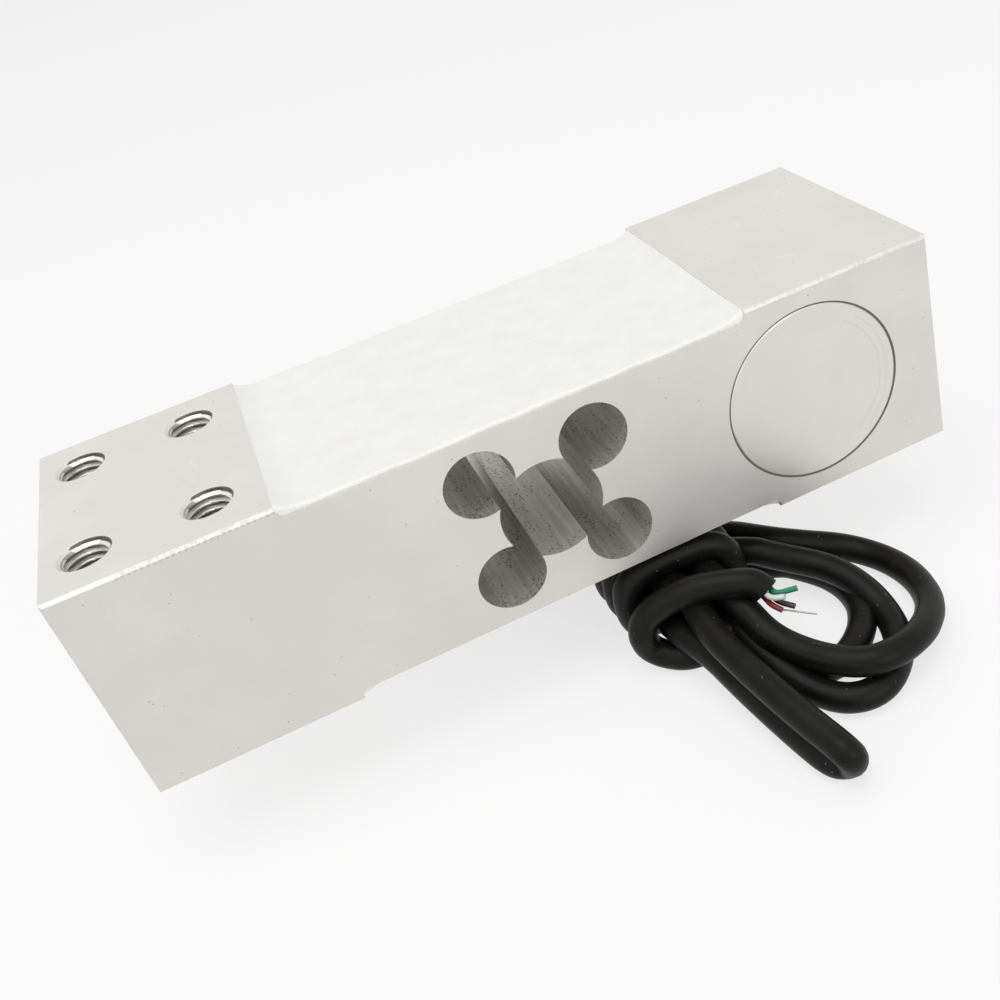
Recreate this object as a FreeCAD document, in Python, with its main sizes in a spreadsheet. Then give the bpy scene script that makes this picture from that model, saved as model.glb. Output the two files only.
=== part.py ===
"""Single point load cell, a parametric document in millimetres.

An aluminium spring element is 150 x 50 x 40 mm.  It has four tapped holes up into its free end,
four tapped holes down in its fixed end, a flexure opening of five joined bores through its middle
and a shallow recess above and below the flexure, where the strain gauges are bonded and sealed.
A round wiring pocket in the near side holds the trim board under a flush cover.  The cable
leaves the far side through a bush, drops behind the block and is wound into a hank on which the
block lies.

The origin is the centre of the spring element: +X runs along it from the free end to the fixed
end, +Y from the covered side to the cable side and +Z up.
"""

import FreeCAD, Part
import math
import os

import Sketcher

Vector = FreeCAD.Vector
AXIS_X = Vector(1, 0, 0)
AXIS_Z = Vector(0, 0, 1)

doc = FreeCAD.newDocument("single_point_load_cell")

# ---------------------------------------------------------------------------------------------
# Driving dimensions
# ---------------------------------------------------------------------------------------------

SIZES = {
    "block_length": (150, "spring element along X"),
    "block_width": (50, "spring element along Y"),
    "block_height": (40, "spring element along Z"),
    "edge_chamfer": (0.5, "broken long edges of the side faces"),
    "end_length": (35, "end face to the gauge recess"),
    "recess_depth": (2, "gauge recess below the top face"),
    "recess_corner": (1.5, "cutter radius at the foot of the recess walls"),
    "lobe_bore": (12, "diameter of the four outer flexure bores"),
    "lobe_pitch_x": (20, "flexure bores, centre to centre along X"),
    "lobe_pitch_z": (19, "flexure bores, centre to centre along Z"),
    "centre_bore": (18, "diameter of the middle flexure bore"),
    "thread_major": (8, "M8 mounting thread"),
    "thread_lead": (1.25, "M8 coarse pitch"),
    "thread_mouth": (8.6, "diameter of the countersink at each thread"),
    "mount_pitch_x": (19, "mounting threads along X"),
    "mount_pitch_y": (30, "mounting threads along Y"),
    "mount_inset": (7, "end face to the outer row of threads"),
    "load_drill_depth": (20, "free end threads"),
    "fixed_drill_depth": (14, "fixed end threads, kept under the cable bore"),
    "cover_inset": (25, "end face to the middle of the cover"),
    "cover_seat_bore": (33, "diameter of the seat of the cover"),
    "cover_thickness": (1, "cover disc, flush with the side face"),
    "cover_gap": (0.35, "adhesive line round the cover, on the radius"),
    "cover_edge": (0.15, "broken edge of the cover disc"),
    "pocket_bore": (28, "diameter of the wiring pocket under the cover"),
    "pocket_depth": (5.5, "wiring pocket below the side face"),
    "wire_bore": (2.4, "hole from recess to pocket for the gauge wires"),
    "wire_bore_inset": (2.5, "recess end wall to the middle of the wire hole"),
    "wire_bore_cover": (3, "side face to the middle of the wire hole"),
    "cable_diameter": (5.2, "outer jacket"),
    "cable_clearance": (0.15, "jacket to bore, on the radius"),
    "bush_bore_seat": (9, "diameter of the counterbore for the bush"),
    "bush_seat_depth": (6, "counterbore depth"),
    "bush_clearance": (0.1, "bush to counterbore, on the radius"),
    "bush_stand": (3, "bush beyond the far side face"),
    "bush_nose": (7, "diameter of the outer end of the bush"),
    "sealant_depth": (0.6, "sealing compound over the recess floor"),
    "sealant_setback": (0.4, "sealing compound behind the side faces"),
    "sealant_climb": (1.2, "height of the fillet of compound at the end walls, over its middle"),
    "sealant_run": (4.5, "length of that fillet of compound"),
    "gauge_length": (9, "strain gauge backing along X"),
    "gauge_width": (7, "strain gauge backing along Y"),
    "gauge_film": (0.08, "strain gauge backing thickness"),
    "gauge_foil": (0.05, "foil grid over the backing"),
    "gauge_grid_length": (5, "foil grid along X"),
    "gauge_grid_width": (4, "foil grid along Y"),
    "gauge_tab": (1.2, "solder tab of the foil, square"),
    "strip_length": (6, "terminal strip along X"),
    "strip_width": (9, "terminal strip along Y"),
    "strip_x": (26, "middle of the terminal strip"),
    "strip_edge": (11, "covered side face to the middle of the terminal strip"),
    "lead_width": (0.4, "flat lead from a gauge to the strip"),
    "lead_height": (0.1, "flat lead thickness"),
    "wire_diameter": (0.35, "bridge wire from strip to board"),
    "wire_pitch": (0.6, "bridge wires, centre to centre"),
    "wire_clearance": (0.05, "compound to bridge wire"),
    "board_length": (6.4, "trim board along X"),
    "board_height": (15, "trim board along Z"),
    "board_thickness": (0.8, "trim board"),
    "board_offset": (8, "middle of the pocket to the middle of the board"),
    "pad_thickness": (0.5, "insulating pad under the board"),
    "pad_margin": (0.5, "pad inside the board outline"),
    "chip_length": (2, "trim resistor along X"),
    "chip_width": (1.25, "trim resistor along Z"),
    "chip_height": (0.5, "trim resistor thickness"),
    "chip_pitch": (2, "trim resistors, centre to centre"),
    "joint_diameter": (1.4, "solder joint of a cable core"),
    "joint_height": (0.5, "solder joint over the board"),
    "joint_pitch": (2.6, "solder joints, centre to centre"),
    "core_diameter": (1, "insulated core of the cable"),
    "core_bend": (1.3, "bend radius of a core at the board"),
    "core_spread": (1.3, "middle of the cable to the middle of a core"),
    "jacket_setback": (3, "pocket floor to the cut end of the jacket in the bore"),
    "hank_height": (19.9, "wound hank from the surface to its top"),
    "hank_gap": (0.4, "hank under the sealing compound"),
    "wound_front": (9, "windings in front of the block"),
    "fan_height": (10.4, "front loops over the surface"),
    "tail_length": (4, "cut end of the cable in front of the windings"),
    "tail_x": (28.4, "cut end of the cable"),
    "tail_z": (-24.9, "cut end of the cable"),
    "drain_wire": (0.3, "shield drain wire"),
}


def make_sheet(name, sizes):
    """Write the sizes into a spreadsheet, one aliased row each."""
    table = doc.addObject("Spreadsheet::Sheet", name)
    for row, (alias, (number, note)) in enumerate(sizes.items(), start=1):
        table.set(f"A{row}", alias)
        table.set(f"B{row}", str(number))
        table.set(f"C{row}", note)
        table.setAlias(f"B{row}", alias)
    doc.recompute()
    return table


sheet = make_sheet("sizes", SIZES)


def size(alias):
    """The value of one driving dimension."""
    return float(sheet.get(alias))


def linked(formula):
    """The formula with each alias written as a reference to the sheet."""
    words = []
    word = ""
    for letter in formula + " ":
        if letter.isalnum() or letter == "_":
            word += letter
            continue
        words.append(f"sizes.{word}" if word in SIZES else word)
        words.append(letter)
        word = ""
    return "".join(words).strip()


def evaluate(formula):
    """The number that a formula of aliases gives now."""
    return float(sheet.evalExpression(linked(formula)))


def bind(thing, prop, formula):
    """Bind a property to a formula of aliases."""
    thing.setExpression(prop, linked(formula))


# ---------------------------------------------------------------------------------------------
# Helpers for bodies and sketches
# ---------------------------------------------------------------------------------------------


def new_body(name):
    body = doc.addObject("PartDesign::Body", name)
    body.Label = name
    return body


def new_sketch(body, name, role, offset="0", turn=None):
    """A sketch on an origin plane of the body, moved along the plane's normal."""
    sketch = body.newObject("Sketcher::SketchObject", name)
    plane = next(item for item in body.Origin.OriginFeatures if item.Role == role)
    sketch.AttachmentSupport = [(plane, "")]
    sketch.MapMode = "FlatFace"
    if turn is not None:
        sketch.AttachmentOffset = FreeCAD.Placement(Vector(), turn)
    bind(sketch, "AttachmentOffset.Base.z", offset)
    return sketch


def add_dimension(sketch, kind, places, formula, start):
    index = sketch.addConstraint(Sketcher.Constraint(kind, *places, start))
    sketch.renameConstraint(index, f"d{index}")
    bind(sketch, f"Constraints.d{index}", formula)


def add_circle(sketch, across, up, diameter):
    """A circle whose centre and diameter follow formulas of aliases."""
    x, y, bore = evaluate(across), evaluate(up), evaluate(diameter)
    circle = sketch.addGeometry(Part.Circle(Vector(x, y, 0), AXIS_Z, bore / 2), False)
    if abs(x) < 1e-9 and abs(y) < 1e-9:
        sketch.addConstraint(Sketcher.Constraint("Coincident", circle, 3, -1, 1))
    else:
        if abs(x) < 1e-9:
            sketch.addConstraint(Sketcher.Constraint("PointOnObject", circle, 3, -2))
        else:
            add_dimension(sketch, "DistanceX", (-1, 1, circle, 3), across, x)
        if abs(y) < 1e-9:
            sketch.addConstraint(Sketcher.Constraint("PointOnObject", circle, 3, -1))
        else:
            add_dimension(sketch, "DistanceY", (-1, 1, circle, 3), up, y)
    add_dimension(sketch, "Diameter", (circle,), diameter, bore)


def add_outline(sketch, corners):
    """A closed outline whose corners follow formulas of aliases.

    A corner is (across, up), or (across, up, radius, side) where an arc leads to the next one;
    side is 1 for an arc that bulges to the left of its chord and -1 for the right.
    """
    points = [Vector(evaluate(corner[0]), evaluate(corner[1]), 0) for corner in corners]
    count = len(points)
    ends = []
    for index, corner in enumerate(corners):
        start, end = points[index], points[(index + 1) % count]
        if len(corner) == 2:
            sketch.addGeometry(Part.LineSegment(start, end), False)
            ends.append((1, 2))
            continue
        sketch.addGeometry(bulged(start, end, evaluate(corner[2]), corner[3]), False)
        ends.append((2, 1) if corner[3] > 0 else (1, 2))
    for index, corner in enumerate(corners):
        before = (index - 1) % count
        joint = (before, ends[before][1], index, ends[index][0])
        sketch.addConstraint(Sketcher.Constraint("Coincident", *joint))
        place_point(sketch, index, ends[index][0], corner, points[index])
        if len(corner) > 2:
            add_dimension(sketch, "Radius", (index,), corner[2], evaluate(corner[2]))


def bulged(start, end, radius, side):
    """An arc between two points of a plane, bulging to one side of its chord.

    A sketch wants its arcs anticlockwise, so one that bulges to the left is drawn from its end.
    """
    chord = end - start
    rise = radius - math.sqrt(radius**2 - (chord.Length / 2) ** 2)
    left = Vector(-chord.y, chord.x, 0).normalize()
    middle = (start + end) / 2 + left * side * rise
    return Part.Arc(end, middle, start) if side > 0 else Part.Arc(start, middle, end)


def place_point(sketch, line, which, corner, point):
    """Hold one end of a line by its two distances from the origin, or on an axis."""
    if abs(point.x) < 1e-9:
        sketch.addConstraint(Sketcher.Constraint("PointOnObject", line, which, -2))
    else:
        add_dimension(sketch, "DistanceX", (-1, 1, line, which), corner[0], point.x)
    if abs(point.y) < 1e-9:
        sketch.addConstraint(Sketcher.Constraint("PointOnObject", line, which, -1))
    else:
        add_dimension(sketch, "DistanceY", (-1, 1, line, which), corner[1], point.y)


def box_corners(left, right, low, high):
    return [(left, low), (right, low), (right, high), (left, high)]


def pad(body, name, sketch, length, midplane=False, reversed_=False):
    feature = body.newObject("PartDesign::Pad", name)
    feature.Profile = sketch
    feature.SideType = "Symmetric" if midplane else "One side"
    feature.Reversed = reversed_
    bind(feature, "Length", length)
    doc.recompute()
    return feature


def pocket(body, name, sketch, depth, midplane=False, reversed_=False):
    """A pocket that has to take material away."""
    before = body.Shape.Volume
    feature = body.newObject("PartDesign::Pocket", name)
    feature.Profile = sketch
    feature.SideType = "Symmetric" if midplane else "One side"
    feature.Reversed = reversed_
    bind(feature, "Length", depth)
    doc.recompute()
    if body.Shape.Volume > before - 1e-3:
        raise RuntimeError(f"{name} cuts nothing")
    return feature


def dress(body, kind, name, base, radius, wanted):
    """A fillet or chamfer on the edges of the base that pass the test."""
    edges = [f"Edge{i}" for i, edge in enumerate(base.Shape.Edges, start=1) if wanted(edge)]
    feature = body.newObject(f"PartDesign::{kind}", name)
    feature.Base = (base, edges)
    bind(feature, "Radius" if kind == "Fillet" else "Size", radius)
    doc.recompute()
    return feature


def near(a, b):
    return abs(a - b) < 1e-4


# ---------------------------------------------------------------------------------------------
# Spring element
# ---------------------------------------------------------------------------------------------


def add_threads(body, name, middle_x, upward, depth):
    """Four countersunk tapping bores in one end, from above or from below."""
    turn = None if upward else FreeCAD.Rotation(AXIS_X, 180)
    offset = "block_height / 2" if upward else "-block_height / 2"
    sketch = new_sketch(body, f"{name}_places", "XY_Plane", offset, turn)
    for along in (-1, 1):
        for across in (-1, 1):
            x = f"{middle_x} + {along} * mount_pitch_x / 2"
            add_circle(sketch, x, f"{across} * mount_pitch_y / 2", "thread_major")
    doc.recompute()
    before = body.Shape.Volume
    hole = body.newObject("PartDesign::Hole", name)
    hole.Profile = sketch
    doc.recompute()
    hole.ThreadType = "None"
    hole.DepthType = "Dimension"
    hole.DrillPoint = "Angled"
    hole.HoleCutType = "Countersink"
    hole.HoleCutCustomValues = True
    hole.HoleCutCountersinkAngle = 90
    bind(hole, "Diameter", "thread_major - thread_lead")
    bind(hole, "Depth", depth)
    bind(hole, "HoleCutDiameter", "thread_mouth")
    doc.recompute()
    if body.Shape.Volume > before - 1e-3:
        raise RuntimeError(f"{name} cuts nothing")


RECESS_END = "(block_length / 2 - end_length)"
WIRE_HOLE_X = f"({RECESS_END} - wire_bore_inset)"


def make_spring_element():
    body = new_body("spring_element")

    side = new_sketch(body, "side_outline", "XZ_Plane")
    half_x, half_z = "block_length / 2", "block_height / 2"
    add_outline(side, box_corners(f"-{half_x}", half_x, f"-{half_z}", half_z))
    block = pad(body, "block", side, "block_width", midplane=True)

    half_width = size("block_width") / 2

    def on_side_face(edge):
        box = edge.BoundBox
        return near(abs(box.YMin), half_width) and near(box.YMin, box.YMax)

    dress(body, "Chamfer", "side_edges", block, "edge_chamfer", on_side_face)

    for sign, face in ((1, "top"), (-1, "bottom")):
        recess = new_sketch(body, f"{face}_recess_outline", "XZ_Plane")
        low = f"{sign} * (block_height / 2 - recess_depth)"
        high = f"{sign} * (block_height / 2 + recess_depth)"
        add_outline(recess, box_corners(f"-{RECESS_END}", RECESS_END, low, high))
        pocket(body, f"{face}_recess", recess, "block_width * 2", midplane=True)

    floor = size("block_height") / 2 - size("recess_depth")
    wall = evaluate(RECESS_END)

    def at_wall_foot(edge):
        box = edge.BoundBox
        level = near(abs(box.ZMin), floor) and near(box.ZMin, box.ZMax)
        return level and near(abs(box.XMin), wall) and near(box.XMin, box.XMax)

    dress(body, "Fillet", "recess_corners", body.Tip, "recess_corner", at_wall_foot)

    lobes = new_sketch(body, "lobe_outline", "XZ_Plane")
    for along in (-1, 1):
        for up in (-1, 1):
            x, z = f"{along} * lobe_pitch_x / 2", f"{up} * lobe_pitch_z / 2"
            add_circle(lobes, x, z, "lobe_bore")
    pocket(body, "flexure_lobes", lobes, "block_width * 2", midplane=True)

    middle = new_sketch(body, "middle_outline", "XZ_Plane")
    add_circle(middle, "0", "0", "centre_bore")
    pocket(body, "flexure_middle", middle, "block_width * 2", midplane=True)

    row = "(block_length / 2 - mount_inset - mount_pitch_x / 2)"
    add_threads(body, "load_threads", f"-{row}", True, "load_drill_depth")
    add_threads(body, "fixed_threads", row, False, "fixed_drill_depth")

    cover_x = "block_length / 2 - cover_inset"
    seat = new_sketch(body, "cover_seat_outline", "XZ_Plane", "block_width / 2")
    add_circle(seat, cover_x, "0", "cover_seat_bore")
    pocket(body, "cover_seat", seat, "cover_thickness")

    well = new_sketch(body, "pocket_outline", "XZ_Plane", "block_width / 2")
    add_circle(well, cover_x, "0", "pocket_bore")
    pocket(body, "wiring_pocket", well, "pocket_depth")

    way = new_sketch(body, "wire_hole_outline", "XY_Plane")
    add_circle(way, WIRE_HOLE_X, "-(block_width / 2 - wire_bore_cover)", "wire_bore")
    pocket(body, "wire_hole", way, "block_height * 2", midplane=True)

    far = new_sketch(body, "cable_bore_outline", "XZ_Plane", "-block_width / 2")
    add_circle(far, cover_x, "0", "cable_diameter + 2 * cable_clearance")
    pocket(body, "cable_bore", far, "block_width - pocket_depth / 2", reversed_=True)

    counterbore = new_sketch(body, "bush_seat_outline", "XZ_Plane", "-block_width / 2")
    add_circle(counterbore, cover_x, "0", "bush_bore_seat")
    pocket(body, "bush_seat", counterbore, "bush_seat_depth", reversed_=True)
    return body


# ---------------------------------------------------------------------------------------------
# Gauges, leads and terminals in the recesses
# ---------------------------------------------------------------------------------------------

FLOOR_Z = "(block_height / 2 - recess_depth)"


def add_box(name, low, high):
    """A box between two corners given as formulas."""
    box = doc.addObject("Part::Box", name)
    for prop, axis, start, end in zip(("Length", "Width", "Height"), "xyz", low, high):
        bind(box, prop, f"({end}) - ({start})")
        bind(box, f"Placement.Base.{axis}", start)
    return box


def flat_box(name, x, y, length, width, low, thickness, sign):
    """A thin box on the recess floor, or under the bottom one: low is its height over that."""
    start = f"{FLOOR_Z} + {low}"
    end = f"{FLOOR_Z} + {low} + {thickness}"
    if sign < 0:
        start, end = f"-({end})", f"-({start})"
    corner = (f"{x} - ({length}) / 2", f"{y} - ({width}) / 2", start)
    far_corner = (f"{x} + ({length}) / 2", f"{y} + ({width}) / 2", end)
    return add_box(name, corner, far_corner)


def join(name, pieces):
    """One solid from pieces that touch."""
    fused = doc.addObject("Part::MultiFuse", name)
    fused.Label = name
    fused.Shapes = pieces
    fused.Refine = True
    return fused


def gather(name, pieces):
    """One node of separate solids."""
    group = doc.addObject("Part::Compound", name)
    group.Label = name
    group.Links = pieces
    return group


def tab_x(end):
    """Where the solder tabs of a gauge lie: its side towards the terminal strip."""
    return f"({end} * lobe_pitch_x / 2 + gauge_length / 2 - gauge_tab)"


def make_gauge(name, end, sign):
    """A foil gauge over a flexure bore: backing film, grid and two solder tabs."""
    x = f"({end} * lobe_pitch_x / 2)"
    film = flat_box(f"{name}_film", x, "0", "gauge_length", "gauge_width", "0", "gauge_film", sign)
    grid = flat_box(f"{name}_grid", f"({x} - gauge_tab / 2)", "0", "gauge_grid_length",
                    "gauge_grid_width", "gauge_film", "gauge_foil", sign)
    tabs = [
        flat_box(f"{name}_tab_{i}", tab_x(end), f"({side} * gauge_tab)", "gauge_tab * 1.5",
                 "gauge_tab", "gauge_film", "gauge_foil", sign)
        for i, side in enumerate((-1, 1))
    ]
    return join(name, [film, grid, *tabs])


def make_strip(name, sign):
    """A terminal strip: a thin film with eight copper pads in two rows."""
    base = flat_box(f"{name}_base", "strip_x", f"-{STRIP_Y}", "strip_length", "strip_width",
                    "0", "gauge_film", sign)
    pads = []
    for row in (-1, 1):
        for column in STRIP_COLUMNS:
            x = f"(strip_x + {row} * strip_length / 4)"
            pads.append(flat_box(f"{name}_pad_{len(pads)}", x, column_y(column),
                                 "strip_length / 3", "strip_width / 6", "gauge_film",
                                 "gauge_foil", sign))
    return join(name, [base, *pads])


STRIP_COLUMNS = (-3, -1, 1, 3)
STRIP_Y = "(block_width / 2 - strip_edge)"


def column_y(column):
    """The place of one column of pads across the strip."""
    return f"(-{STRIP_Y} + {column} * strip_width / 8)"


def make_leads(name, sign):
    """Flat leads from the tabs of the two gauges to the pads of the strip.

    Each lead is (which gauge, which tab, which column of pads), and they nest without crossing.
    """
    leads = []
    for end, side, column in ((-1, 1, 3), (1, 1, 1), (1, -1, -1), (-1, -1, -3)):
        start_y = f"({side} * gauge_tab)"
        lane_y = start_y
        runs = []
        if end < 0:
            lane_y = f"({side} * (gauge_width / 2 + 2 * lead_width))"
            runs.append((tab_x(end), tab_x(end), start_y, lane_y))
        turn_x = f"(strip_x - strip_length / 2 - {(5 - column) // 2} * 2 * lead_width)"
        runs.append((tab_x(end), turn_x, lane_y, lane_y))
        runs.append((turn_x, turn_x, lane_y, column_y(column)))
        runs.append((turn_x, "(strip_x - strip_length / 4)", column_y(column), column_y(column)))
        pieces = [
            lead_run(f"{name}_{len(leads)}_{i}", *run, sign) for i, run in enumerate(runs)
        ]
        leads.append(join(f"{name}_{len(leads)}", pieces))
    return gather(name, leads)


def lead_run(name, x1, x2, y1, y2, sign):
    """A straight stretch of a flat lead, lying on the foil of the gauges and of the strip."""
    low_x, high_x = sorted((x1, x2), key=evaluate)
    low_y, high_y = sorted((y1, y2), key=evaluate)
    bottom = f"{FLOOR_Z} + gauge_film + gauge_foil"
    top = f"{bottom} + lead_height"
    if sign < 0:
        bottom, top = f"-({top})", f"-({bottom})"
    low = (f"{low_x} - lead_width / 2", f"{low_y} - lead_width / 2", bottom)
    high = (f"{high_x} + lead_width / 2", f"{high_y} + lead_width / 2", top)
    return add_box(name, low, high)


# ---------------------------------------------------------------------------------------------
# Round wires along bent paths
# ---------------------------------------------------------------------------------------------


def bent_path(points, radius=None):
    """Straight runs joined by tangent arcs; each arc is as large as its runs allow, or given."""
    edges, radii = [], []
    start = points[0]
    for before, corner, after in zip(points, points[1:], points[2:]):
        into, out = corner - before, after - corner
        half_turn = into.getAngle(out) / 2
        room = ARC_SHARE * min(into.Length, out.Length) / math.tan(half_turn)
        bend = room if radius is None else min(radius, room)
        reach = bend * math.tan(half_turn)
        into.normalize()
        out.normalize()
        inward = (out - into).normalize()
        arc_start, arc_end = corner - into * reach, corner + out * reach
        middle = corner + inward * (bend / math.cos(half_turn) - bend)
        edges.append(Part.LineSegment(start, arc_start).toShape())
        edges.append(Part.Arc(arc_start, middle, arc_end).toShape())
        radii.append(bend)
        start = arc_end
    edges.append(Part.LineSegment(start, points[-1]).toShape())
    return Part.Wire(edges), radii


ARC_SHARE = 0.45  # of the shorter run beside a corner


def round_wire(points, diameter, radius=None):
    """A round solid along a bent path, with its radii and its length."""
    path, radii = bent_path(points, radius)
    circle = Part.Circle(points[0], points[1] - points[0], diameter / 2).toShape()
    solid = path.makePipe(Part.Face(Part.Wire(circle)))
    if not solid.Solids:
        solid = Part.Solid(solid.Shells[0])
    return solid.Solids[0], radii, path.Length


def add_shape(name, shape):
    feature = doc.addObject("Part::Feature", name)
    feature.Shape = shape
    feature.Placement = FreeCAD.Placement()
    feature.Label = name
    return feature


def make_bridge_wires(name, sign):
    """Four wires from the strip, down the wire hole and across the pocket to the trim board."""
    floor = evaluate(f"{FLOOR_Z} + gauge_film + gauge_foil + wire_diameter / 2")
    hole = Vector(evaluate(WIRE_HOLE_X),
                  -evaluate("block_width / 2 - wire_bore_cover"), 0)
    pitch = size("wire_pitch")
    board = board_front() - size("wire_diameter") / 2
    board_x = evaluate("block_length / 2 - cover_inset + board_offset - board_length / 2")
    wires = []
    for number, column in enumerate(STRIP_COLUMNS):
        in_hole = hole + Vector(pitch / 2 * (1 if number % 2 else -1),
                                pitch / 2 * (1 if number > 1 else -1), 0)
        level = size("board_height") / 2 - pitch * (1 + number)
        turn = level - pitch
        pad_x = evaluate("strip_x + strip_length / 4")
        pad_y = evaluate(column_y(column))
        points = [
            Vector(pad_x, pad_y, floor),
            Vector((pad_x + in_hole.x) / 2, pad_y - pitch * column / 6, floor),
            Vector(in_hole.x, in_hole.y, floor),
            Vector(in_hole.x, in_hole.y, turn),
            Vector(board_x - size("board_offset"), in_hole.y, turn),
            Vector(board_x - pitch, board, level),
            Vector(board_x + 2 * pitch, board, level),
        ]
        flipped = [Vector(p.x, p.y, p.z * sign) for p in points]
        bend = size("wire_diameter") * WIRE_BEND
        wires.append(round_wire(flipped, size("wire_diameter"), bend)[0])
    return add_shape(name, Part.makeCompound(wires))


WIRE_BEND = 1.6  # bend radius of a bridge wire, in diameters


# ---------------------------------------------------------------------------------------------
# Sealing compound
# ---------------------------------------------------------------------------------------------


def make_sealant(name, sign, buried):
    """The compound over the gauges: thin in the middle and climbing both end walls."""
    body = new_body(f"{name}_body")
    sketch = new_sketch(body, f"{name}_outline", "XZ_Plane")
    floor, wall = f"{sign} * {FLOOR_Z}", RECESS_END
    foot = f"{sign} * ({FLOOR_Z} + recess_corner)"
    crest = f"{sign} * ({FLOOR_Z} + sealant_depth + sealant_climb)"
    level = f"{sign} * ({FLOOR_Z} + sealant_depth)"
    climb_radius = "(sealant_run^2 + sealant_climb^2) / (2 * sealant_climb)"
    corners = [
        (f"-({wall} - recess_corner)", floor),
        (f"{wall} - recess_corner", floor, "recess_corner", -sign),
        (wall, foot),
        (wall, crest, climb_radius, sign),
        (f"{wall} - sealant_run", level),
        (f"-({wall} - sealant_run)", level, climb_radius, sign),
        (f"-{wall}", crest),
        (f"-{wall}", foot, "recess_corner", -sign),
    ]
    add_outline(sketch, corners)
    pad(body, f"{name}_pad", sketch, "block_width - 2 * sealant_setback", midplane=True)
    tool = join(f"{name}_buried", [*buried, wire_channel(name, sign)])
    cut = doc.addObject("Part::Cut", name)
    cut.Base = body
    cut.Tool = tool
    cut.Label = name
    return cut


def wire_channel(name, sign):
    """The room that the bridge wires leave in the compound, from the strip to the wire hole."""
    bottom = FLOOR_Z
    top = f"{FLOOR_Z} + gauge_film + gauge_foil + wire_diameter + wire_clearance"
    if sign < 0:
        bottom, top = f"-({top})", f"-{bottom}"
    wire_x = f"{WIRE_HOLE_X} + wire_pitch + wire_diameter"
    wire_y = "-(block_width / 2 - wire_bore_cover + wire_pitch + wire_diameter)"
    low = ("strip_x + strip_length / 4 - wire_clearance", wire_y, bottom)
    high = (wire_x, f"{column_y(3)} + wire_pitch", top)
    return add_box(f"{name}_channel", low, high)


# ---------------------------------------------------------------------------------------------
# Wiring pocket
# ---------------------------------------------------------------------------------------------

COVER_X = "(block_length / 2 - cover_inset)"
BOARD_X = f"({COVER_X} + board_offset)"
INTO_MINUS_Y = FreeCAD.Rotation(AXIS_X, 90)
INTO_PLUS_Y = FreeCAD.Rotation(AXIS_X, -90)


def board_front():
    """The face of the trim board that carries its parts."""
    return evaluate("-block_width / 2 + pocket_depth - pad_thickness - board_thickness")


def add_rod(name, diameter, length, x, y, z, turn):
    """A round bar from a point along Y."""
    rod = doc.addObject("Part::Cylinder", name)
    rod.Label = name
    rod.Placement = FreeCAD.Placement(Vector(), turn)
    bind(rod, "Radius", f"({diameter}) / 2")
    bind(rod, "Height", length)
    for axis, formula in zip("xyz", (x, y, z)):
        bind(rod, f"Placement.Base.{axis}", formula)
    return rod


def make_cover():
    body = new_body("side_cover")
    sketch = new_sketch(body, "cover_outline", "XZ_Plane", "block_width / 2 - cover_thickness")
    add_circle(sketch, COVER_X, "0", "cover_seat_bore - 2 * cover_gap")
    disc = pad(body, "cover_disc", sketch, "cover_thickness")
    face = -evaluate("block_width / 2")

    def outer_rim(edge):
        return near(edge.BoundBox.YMin, face) and near(edge.BoundBox.YMax, face)

    dress(body, "Chamfer", "cover_rim", disc, "cover_edge", outer_rim)
    return body


def make_cover_bead():
    """The line of adhesive between the cover and its seat."""
    y = "-block_width / 2 + cover_edge"
    depth = "cover_thickness - cover_edge"
    outer = add_rod("cover_bead_outer", "cover_seat_bore", depth, COVER_X, y, "0", INTO_PLUS_Y)
    inner = add_rod("cover_bead_inner", "cover_seat_bore - 2 * cover_gap", depth, COVER_X, y,
                    "0", INTO_PLUS_Y)
    bead = doc.addObject("Part::Cut", "cover_bead")
    bead.Base = outer
    bead.Tool = inner
    bead.Label = "cover_bead"
    return bead


def make_board():
    """The trim board, its insulating pad, its three resistors and its solder joints."""
    pocket_floor = "(-block_width / 2 + pocket_depth)"
    pad_face = f"({pocket_floor} - pad_thickness)"
    board_face = f"({pad_face} - board_thickness)"

    def upright(name, x, z, length, height, back, front):
        low = (f"{x} - ({length}) / 2", front, f"{z} - ({height}) / 2")
        high = (f"{x} + ({length}) / 2", back, f"{z} + ({height}) / 2")
        return add_box(name, low, high)

    board_pad = upright("board_pad", BOARD_X, "0", "board_length - 2 * pad_margin",
                        "board_height - 2 * pad_margin", pocket_floor, pad_face)
    board = upright("trim_board", BOARD_X, "0", "board_length", "board_height", pad_face,
                    board_face)
    chips = [
        upright(f"chip_{i}", f"({BOARD_X} + board_length / 4)", f"({i} * chip_pitch)",
                "chip_length", "chip_width", board_face, f"{board_face} - chip_height")
        for i in (-1, 0, 1)
    ]
    joints = [
        add_rod(f"joint_{i}", "joint_diameter", "joint_height", JOINT_X, board_face,
                f"{i} * joint_pitch / 2", INTO_MINUS_Y)
        for i in (-3, -1, 1, 3)
    ]
    for box in (board_pad, board):
        box.Label = box.Name
    return [board_pad, board, gather("trim_resistors", chips), gather("solder_joints", joints)]


JOINT_X = f"({BOARD_X} - board_length / 2 + joint_diameter)"


# ---------------------------------------------------------------------------------------------
# Cable
# ---------------------------------------------------------------------------------------------


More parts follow.
